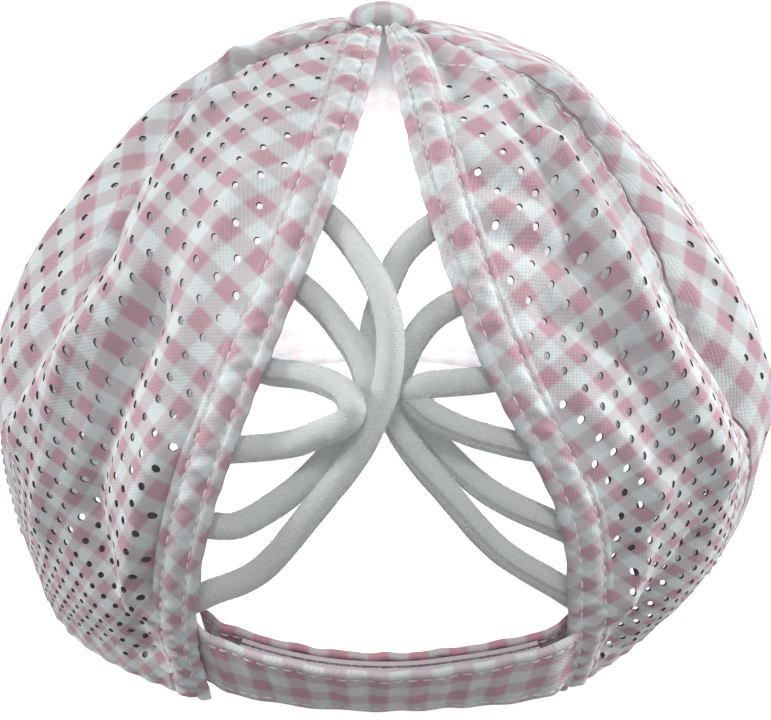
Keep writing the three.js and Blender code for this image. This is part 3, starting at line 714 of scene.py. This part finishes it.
def strap_tape(name, node, depth, material, slot):
    opening = 2 * float(plain_radius(0.0, 1.0)) * math.sin(math.radians(LEVELS["split_left"][-1]))
    margin_u, margin_v = TAPE_END_MARGIN / opening, (1 - TAPE_WIDTH / STRAP_WIDTH) / 2
    u = np.linspace(margin_u, 1 - margin_u, 200)[:, None]
    v = np.array([0, 0, 0.5, 1, 1, 0.5])[None]
    lift = np.array([-1, 0, 0, 0, -1, -1])[None] * TAPE_THICKNESS + depth
    rings, _ = strap_point(u, margin_v + (1 - 2 * margin_v) * v, lift + 0 * u)
    uvs = np.stack([STRAP_SPAN * u + 0 * v, TAPE_WIDTH * v + 0 * u], -1)
    dress(loft(name, rings, uvs, [material]), slot, node)


def tape_bristles(name, depth, count, height, slot):
    u = rng.uniform(0.14, 0.86, count)
    v = 0.12 + 0.76 * rng.random(count) ** 0.35
    foot, normal = strap_point(u, v, depth)
    lean = rng.normal(0, 0.35, (count, 3))
    tip = foot + unit(normal + lean) * (height * rng.uniform(0.6, 1.2, count))[:, None]
    side = unit(np.cross(normal, lean)) * 0.07
    verts = np.stack([foot - side, foot + side, tip], 1).reshape(-1, 3)
    faces = np.arange(3 * count).reshape(-1, 3)
    dress(make_mesh(name, verts, faces, np.zeros((3 * count, 2)), [THREAD]), slot)


def strap():
    gap = (STRAP_STEP - STRAP_THICKNESS - 2 * TAPE_THICKNESS) / 3
    hook = -STRAP_THICKNESS - gap
    loop = hook - TAPE_THICKNESS - gap
    strap_tab("cloth_outer_tab", "strap_outer_tab", -0.03, 1.02, 0, 0.3)
    strap_tab("cloth_inner_tab", "strap_inner_tab", -0.03, 1.02, -STRAP_STEP, 1.9, 0.88)
    strap_tape("tape_hook", "strap_hook_tape", hook, TAPE, "hook_tape")
    strap_tape("tape_loop", "strap_loop_tape", loop, TAPE, "loop_tape")
    tape_bristles("bristles_hook", hook - TAPE_THICKNESS, 3000, -0.55, "hook_tape")
    tape_bristles("bristles_loop", loop, 3000, 0.4, "loop_tape")


# The elastic cords

FUZZ_PER_MM = 150


def between(first, last, start, end, t):
    return (first * (end - t) + last * (t - start)) / (end - start)


def catmull(points, count):
    """A centripetal curve through the points, as evenly spaced places."""
    points = np.array(points)
    ends = np.concatenate([[2 * points[0] - points[1]], points, [2 * points[-1] - points[-2]]])
    places = []
    for k in range(1, len(ends) - 2):
        p = ends[k - 1:k + 3]
        knots = np.concatenate([[0], np.cumsum(np.sqrt(np.linalg.norm(np.diff(p, axis=0), axis=1)))])
        t = np.linspace(knots[1], knots[2], 24, endpoint=False)[:, None]
        a = [between(p[i], p[i + 1], knots[i], knots[i + 1], t) for i in range(3)]
        b = [between(a[i], a[i + 1], knots[i], knots[i + 2], t) for i in range(2)]
        places.append(between(b[0], b[1], knots[1], knots[2], t))
    places = np.concatenate(places + [points[-1:]])
    run = np.concatenate([[0], np.cumsum(np.linalg.norm(np.diff(places, axis=0), axis=1))])
    at = np.linspace(0, run[-1], count)
    return np.stack([np.interp(at, run, places[:, k]) for k in range(3)], -1), run[-1]


def split_point(across, level, out):
    left = crown_point(-split_angle("left", level), level)
    right = crown_point(split_angle("right", level), level)
    return left + (right - left) * (across + 1) / 2 + plain_normal(0.0, level) * out * CORD_DIAMETER


def tucked_end(side, level, next_level, distance):
    depth = 0.7 * HEM_THICKNESS + 0.6 + CORD_DIAMETER / 2
    along = np.array(level + (level - next_level) * distance / CORD_TUCK)
    start = split_angle(side, along)
    angle = sign_of(side) * (start + degrees_for(distance, sign_of(side) * start, along))
    return crown_point(angle, along, -depth)


def cord_path(name):
    rows = CORDS[name]
    side = "left" if "left" in name else "right"
    middle = [split_point(across, np.array(level), out) for across, level, out in rows[1:-1]]
    first, last = rows[0][1], rows[-1][1]
    first_lean = first + (rows[1][1] - first) / 2
    last_lean = last + (rows[-2][1] - last) / 2
    start = [tucked_end(side, first, first_lean, d) for d in (CORD_TUCK, 0)]
    end = [tucked_end(side, last, last_lean, d) for d in (0, CORD_TUCK)]
    return catmull(start + middle + end, 220)


def cord(name):
    path, length = cord_path(name)
    ahead = unit(np.gradient(path, axis=0))
    side = unit(np.cross(ahead, np.array([0, 0, 1.0]) + 0 * ahead))
    up = np.cross(side, ahead)
    turn = np.arange(20) * 2 * np.pi / 20
    along = np.linspace(0, length, len(path))
    radius = CORD_DIAMETER / 2 * (0.985 + 0.012 * np.sin(along / 2.9) + 0.008 * np.sin(along / 1.3))
    spoke = np.cos(turn)[None, :, None] * side[:, None] + np.sin(turn)[None, :, None] * up[:, None]
    rings = path[:, None] + spoke * radius[:, None, None]
    uvs = np.stack([along[:, None] + 0 * turn[None], 2.7 * turn[None] + 0 * along[:, None]], -1)
    dress(loft(name + "_plush", rings, uvs, [PLUSH]), "elastic_cord", name)
    cord_fuzz(name, path, ahead, side, up, length)


def cord_fuzz(name, path, ahead, side, up, length):
    count = int(FUZZ_PER_MM * length)
    place = rng.integers(0, len(path), count)
    turn = rng.uniform(0, 2 * np.pi, count)[:, None]
    spoke = np.cos(turn) * side[place] + np.sin(turn) * up[place]
    slide = rng.uniform(-0.25, 0.25, count)[:, None]
    foot = path[place] + spoke * CORD_DIAMETER * 0.48 + ahead[place] * slide
    lean = rng.normal(0, 0.5, (count, 3))
    tip = foot + unit(spoke + lean) * rng.uniform(0.2, 0.6, count)[:, None]
    wide = unit(np.cross(spoke, lean)) * 0.05
    verts = np.stack([foot - wide, foot + wide, tip], 1).reshape(-1, 3)
    faces = np.arange(3 * count).reshape(-1, 3)
    dress(make_mesh(name + "_fuzz", verts, faces, np.zeros((3 * count, 2)), [PLUSH_FIBRE]), "elastic_cord")


# The covered button and the peak

BUTTON_DIAMETER = 15.5
BUTTON_HEIGHT = 4.8
BUTTON_GAP = 0.6


def button():
    turn = np.arange(72) * 2 * np.pi / 72
    rise = np.linspace(0, 1, 20)
    radius = BUTTON_DIAMETER / 2 * np.concatenate([[0.86, 0.95, 1.0], np.cos(rise * np.pi / 2) * 0.995])
    height = np.concatenate([[0.1, 0.0, 0.6], 1.2 + (BUTTON_HEIGHT - 1.2) * np.sin(rise * np.pi / 2)])
    pleat = 1 + 0.018 * np.cos(9 * turn[None]) * np.clip(1 - height[:, None] / 4, 0, 1)
    r = np.maximum(radius, 0.05)[:, None] * pleat
    z = CROWN_HEIGHT + BUTTON_GAP + height[:, None] + 0 * turn[None]
    rings = np.stack([r * np.cos(turn)[None], r * np.sin(turn)[None], z], -1)
    stretch = 1 + 0.25 * (1 - radius[:, None] / radius.max())
    upwards = z - CROWN_HEIGHT - 1.3 * rings[..., 1] * stretch
    uvs = np.stack([rings[..., 0] * stretch / CHECK, upwards / CHECK], -1)
    dress(loft("cloth_button", rings, uvs, [GINGHAM]), "gingham_cloth", "crown_button")


PEAK_HALF_WIDTH = 86
PEAK_REACH = 68
PEAK_THICKNESS = 3
PEAK_ROOT_ANGLE = 68
PEAK_TIP_HEIGHT = 9
PEAK_ROOT_LIFT = 2.37


def peak_point(share, v, lift):
    share, v, lift = np.broadcast_arrays(share, v, lift)
    root = crown_point(180 - PEAK_ROOT_ANGLE * share, np.ones_like(share), PEAK_ROOT_LIFT + 0 * share)
    corner = crown_point(np.array(180.0 - PEAK_ROOT_ANGLE), np.array(1.0), np.array(PEAK_ROOT_LIFT))
    tip = plain_point(np.array(180.0), np.array(1.0))[1] + PEAK_REACH
    sweep = share * np.pi / 2
    wide = PEAK_HALF_WIDTH * np.sign(share) * np.abs(np.sin(sweep)) ** 0.9
    ending = smoothstep(np.abs(share), 0.86, 1)
    level = np.clip(np.cos(sweep), 0, 1)
    rim = np.stack([wide + (1.03 * root[..., 0] - wide) * ending,
                    corner[1] + 3 + (tip - corner[1]) * level**0.8, PEAK_TIP_HEIGHT * level**1.5], -1)
    root[..., 2] = np.maximum(0, root[..., 2] - PEAK_THICKNESS * 0.3)
    point = root + (rim - root) * v[..., None]
    point[..., 2] += 0.06 * PEAK_REACH * np.sin(np.pi * v) * level + lift
    return point


def peak():
    share = np.linspace(-1, 1, 150)[:, None]
    top = np.linspace(0, 1, 26)
    v = np.concatenate([top, [1.0, 1.0], top[::-1]])[None]
    rounding = np.minimum(1, np.sqrt(np.clip((1 - top) / 0.03, 0, 1)) * 0.3 + 0.7)
    lift = np.concatenate([PEAK_THICKNESS * rounding, [2.0, 1.0], PEAK_THICKNESS * (1 - rounding)])[None]
    rings = peak_point(share, v, lift)
    uvs = rings[..., :2] / CHECK
    dress(loft("cloth_peak", rings, uvs, [GINGHAM]), "gingham_cloth", "peak")
    up = np.array([0, 0, 1.0])
    for k, v in enumerate((0.14, 0.3, 0.46, 0.62, 0.78, 0.93)):
        line = np.linspace(-0.93, 0.93, 500)
        points = peak_point(line, v, PEAK_THICKNESS + 0.02)
        stitch_row(f"stitches_peak_{k}", points, up + 0 * points, pitch=3.4, length=2.5)


# Stitch rows beside the seams of the crown

def seam_stitches():
    for side, rows in (("left", (-5.5,)), ("right", (1.6, 10.5))):
        for k, offset in enumerate(rows):
            level = np.linspace(0.14, 0.9, 420)
            angle = seam_angle(side, level) - degrees_for(offset, sign_of(side) * 55, level)
            angle = sign_of(side) * angle
            kind = "back" if offset > 0 else "side"
            arc, along = to_cloth(side, kind, angle, level)
            points = crown_point(angle, level, cloth_lift(side, kind, angle, level, arc, along))
            stitch_row(f"stitches_seam_{side}_{k}", points, plain_normal(angle, level))


# Materials

def linear(red, green, blue):
    """A colour given as it shows on screen, 0 to 255, all of them above 10."""
    return tuple(((c / 255 + 0.055) / 1.055) ** 2.4 for c in (red, green, blue)) + (1,)


def node(tree, kind, values=None, **settings):
    made = tree.nodes.new(kind)
    for key, value in settings.items():
        setattr(made, key, value)
    for key, value in (values or {}).items():
        made.inputs[key].default_value = value
    return made


def maths(tree, operation, *inputs):
    made = node(tree, "ShaderNodeMath", operation=operation)
    for k, value in enumerate(inputs):
        if isinstance(value, (int, float)):
            made.inputs[k].default_value = value
        else:
            tree.links.new(value, made.inputs[k])
    return made.outputs[0]


def start_material(name, roughness, sheen=0.0):
    material = bpy.data.materials.new(name)
    material.use_nodes = True
    tree = material.node_tree
    shader = tree.nodes["Principled BSDF"]
    shader.inputs["Roughness"].default_value = roughness
    shader.inputs["Specular IOR Level"].default_value = 0.15
    shader.inputs["Sheen Weight"].default_value = sheen
    return material, tree, shader


def cloth_coordinates(tree):
    place = node(tree, "ShaderNodeUVMap", uv_map="cloth")
    split = node(tree, "ShaderNodeSeparateXYZ")
    tree.links.new(place.outputs[0], split.inputs[0])
    return place.outputs[0], split.outputs[0], split.outputs[1]


def bump(tree, shader, height, strength, distance):
    made = node(tree, "ShaderNodeBump", {"Strength": strength, "Distance": distance})
    tree.links.new(height, made.inputs["Height"])
    tree.links.new(made.outputs[0], shader.inputs["Normal"])


THREADS = 16
STRIPE_EDGE = 1.7


def gingham(name, white, mixed, pink):
    """Checks from two yarn-dyed stripes that cross, in a plain weave."""
    material, tree, shader = start_material(name, 0.92, 0.12)
    _, first, second = cloth_coordinates(tree)
    stripes = []
    for place in (first, second):
        wave = maths(tree, "COSINE", maths(tree, "MULTIPLY", place, 2 * math.pi))
        stripes.append(maths(tree, "ADD", maths(tree, "MULTIPLY", wave, STRIPE_EDGE), 0.5))
    stripes = [maths(tree, "MINIMUM", maths(tree, "MAXIMUM", s, 0.0), 1.0) for s in stripes]
    turns = [maths(tree, "MULTIPLY", place, math.pi * THREADS) for place in (first, second)]
    weave = maths(tree, "MULTIPLY", *(maths(tree, "SINE", turn) for turn in turns))
    count = maths(tree, "ADD", *stripes)
    uneven = node(tree, "ShaderNodeTexNoise", {"Scale": 2.6, "Detail": 3.0, "Roughness": 0.6})
    tree.links.new(node_uv(tree), uneven.inputs["Vector"])
    ramp = node(tree, "ShaderNodeValToRGB")
    shade = ramp.color_ramp
    shade.elements[0].color = linear(*white)
    shade.elements[1].color = linear(*pink)
    shade.elements.new(0.5).color = linear(*mixed)
    sway = maths(tree, "MULTIPLY", maths(tree, "ADD", uneven.outputs["Fac"], -0.5), 0.25)
    total = maths(tree, "ADD", maths(tree, "MULTIPLY", count, 0.5), maths(tree, "MULTIPLY", sway, 0.3))
    speck = maths(tree, "MULTIPLY", weave, 0.05)
    tree.links.new(maths(tree, "ADD", total, speck), ramp.inputs[0])
    tree.links.new(ramp.outputs[0], shader.inputs["Base Color"])
    height = maths(tree, "ADD", weave, maths(tree, "MULTIPLY", uneven.outputs["Fac"], 1.5))
    bump(tree, shader, height, 0.2, 0.0002)
    return material


def node_uv(tree):
    return node(tree, "ShaderNodeUVMap", uv_map="cloth").outputs[0]


def plain(name, colour, roughness=0.9, sheen=0.0, glow=0.0):
    material, tree, shader = start_material(name, roughness, sheen)
    shader.inputs["Base Color"].default_value = linear(*colour)
    shader.inputs["Emission Color"].default_value = linear(*colour)
    shader.inputs["Emission Strength"].default_value = glow
    return material


def plush():
    """Velvety cords: fine ribs around the cord under a short nap, with a faint painted glow that brightens
    them.
    """
    material, tree, shader = start_material("cord_plush", 0.95, 0.5)
    place, along, around = cloth_coordinates(tree)
    rib = maths(tree, "SINE", maths(tree, "MULTIPLY", along, 2 * math.pi / 0.55))
    nap = node(tree, "ShaderNodeTexNoise", {"Scale": 1.8, "Detail": 4.0, "Roughness": 0.75})
    tree.links.new(place, nap.inputs["Vector"])
    ramp = node(tree, "ShaderNodeValToRGB")
    ramp.color_ramp.elements[0].position = 0.3
    ramp.color_ramp.elements[0].color = linear(226, 231, 232)
    ramp.color_ramp.elements[1].position = 0.7
    ramp.color_ramp.elements[1].color = linear(252, 254, 254)
    tree.links.new(nap.outputs["Fac"], ramp.inputs[0])
    tree.links.new(ramp.outputs[0], shader.inputs["Base Color"])
    ribs = maths(tree, "MULTIPLY", rib, 0.06)
    height = maths(tree, "ADD", ribs, maths(tree, "MULTIPLY", nap.outputs["Fac"], 1.6))
    bump(tree, shader, height, 0.9, 0.0006)
    # A faint white glow: painted light on the cords
    shader.inputs["Emission Color"].default_value = linear(252, 254, 254)
    shader.inputs["Emission Strength"].default_value = 0.07
    return material


WHITE, MIXED, PINK = (226, 233, 235), (211, 205, 208), (201, 162, 173)
GINGHAM = gingham("gingham_face", WHITE, MIXED, PINK)
# A brighter, pinker copy of the checks for the strap: painted light against the shade on the strap
GINGHAM_STRAP_PAINTED_LIGHT = gingham("gingham_strap_painted_light", (238, 240, 240), (222, 208, 212), (214, 164, 176))
# The cloth's reverse, for the inside of the cap and the band: the face's checks, painted paler as light
# inside the cap
GINGHAM_REVERSE_PAINTED_LIGHT = gingham("gingham_reverse_painted_light", (240, 243, 246), (238, 236, 239), (234, 222, 227))
# The walls of the holes: dark grey, painted shade of the cap's inside rather than the cloth's own colour
CUT_EDGE_PAINTED_SHADE = plain("cut_edge_painted_shade", (96, 92, 95))
THREAD = plain("sewing_thread", (238, 238, 238), 0.6, 0.1)
TAPE = plain("strap_tape", (214, 202, 208), 0.9, 0.2)
PLUSH = plush()
PLUSH_FIBRE = plain("cord_fibre", (250, 253, 254), 0.9, 0.2)


# Stage: a pale floor, soft lights and the camera at the photograph's place

SKY_LEVEL = 0.4
SKY_SLOPE = (0.12, 0.06, 0.12)
SHADE_FROM = {"left": 44, "right": 60}


def lamp(name, kind, place, target, energy, **settings):
    light = bpy.data.lights.new(name, kind)
    light.energy = energy
    for key, value in settings.items():
        setattr(light, key, value)
    thing = bpy.data.objects.new(name, light)
    thing.location = place
    thing.rotation_euler = (Vector(target) - Vector(place)).to_track_quat("-Z", "Y").to_euler()
    bpy.context.scene.collection.objects.link(thing)
    return thing


def sky():
    """A sky whose brightness rises steadily towards the right and upwards."""
    world = bpy.data.worlds.new("studio")
    bpy.context.scene.world = world
    world.use_nodes = True
    tree = world.node_tree
    split = node(tree, "ShaderNodeSeparateXYZ")
    tree.links.new(node(tree, "ShaderNodeTexCoord").outputs["Generated"], split.inputs[0])
    shares = [maths(tree, "MULTIPLY", split.outputs[k], share) for k, share in enumerate(SKY_SLOPE)]
    level = maths(tree, "ADD", shares[2], SKY_LEVEL)
    total = maths(tree, "ADD", maths(tree, "ADD", shares[0], shares[1]), level)
    tree.links.new(maths(tree, "MAXIMUM", total, 0.0), tree.nodes["Background"].inputs["Strength"])
    tree.nodes["Background"].inputs["Color"].default_value = (0.98, 0.99, 1, 1)


def sheet(name, corners, height, material):
    mesh = bpy.data.meshes.new(name)
    mesh.from_pydata([(x, y, height) for x, y in corners], [], [tuple(range(len(corners)))])
    mesh.materials.append(material)
    thing = bpy.data.objects.new(name, mesh)
    thing.visible_diffuse = False
    bpy.context.scene.collection.objects.link(thing)
    return thing


def shade(side, near, material):
    """A dark grey sheet on the floor under one side of the cap: painted shade."""
    rim = plain_point(sign_of(side) * np.linspace(1, 179, 90), 1.0) * 0.93
    rim = (rim[np.abs(rim[:, 0]) > near] + SHIFT) / 1000
    return sheet(f"shade_{side}", rim[:, :2].tolist(), -0.0003, material)


def stage():
    paper = plain("floor_paper", (253, 253, 253), 0.8, glow=0.8)
    floor = sheet("floor", ((-4, -4), (4, -4), (4, 6), (-4, 6)), -0.0004, paper)
    # Dark grey paper for the sheets of painted shade under the cap's sides
    dim = plain("floor_shade", (90, 88, 90), 0.8)
    shades = [shade(side, near, dim) for side, near in SHADE_FROM.items()]
    lamps = [
        lamp("right_sun", "SUN", (1, 0.42, 0.42), (0, 0, 0), 2.8, angle=math.radians(20)),
        lamp("left_sun", "SUN", (-0.95, 0.15, 0.5), (0, 0, 0), 2.1, angle=math.radians(20)),
        lamp("inside_floor_light", "AREA", (0, -0.06, 0.1), (0, -0.045, 0), 0.012, size=0.02,
             spread=math.radians(55)),
        lamp("inside_front_light", "AREA", (0, -0.09, 0.08), (0, 0.06, 0.052), 0.034, size=0.02,
             spread=math.radians(46)),
        lamp("cord_light", "AREA", (0, -0.32, 0.34), (0, -0.13, 0.06), 0.014, size=0.12,
             spread=math.radians(21)),
    ]
    for light in lamps[2:]:
        light.visible_camera = False
    sky()


def camera():
    lens = bpy.data.cameras.new("camera")
    lens.lens = 83.73
    lens.sensor_width = 36
    thing = bpy.data.objects.new("camera", lens)
    thing.location = ((0.6 + SHIFT[0]) / 1000, (-411.4 + SHIFT[1]) / 1000, 0.1891)
    thing.rotation_euler = (math.radians(90 - 19.094), 0, 0)
    bpy.context.scene.collection.objects.link(thing)
    bpy.context.scene.camera = thing


bpy.context.scene.view_settings.view_transform = "Standard"
for panel_side in ("left", "right"):
    for panel_kind in PANELS:
        panel(panel_side, panel_kind)
    hem(panel_side)
band()
strap()
for cord_name in CORDS:
    cord(cord_name)
button()
peak()
seam_stitches()
stage()
camera()
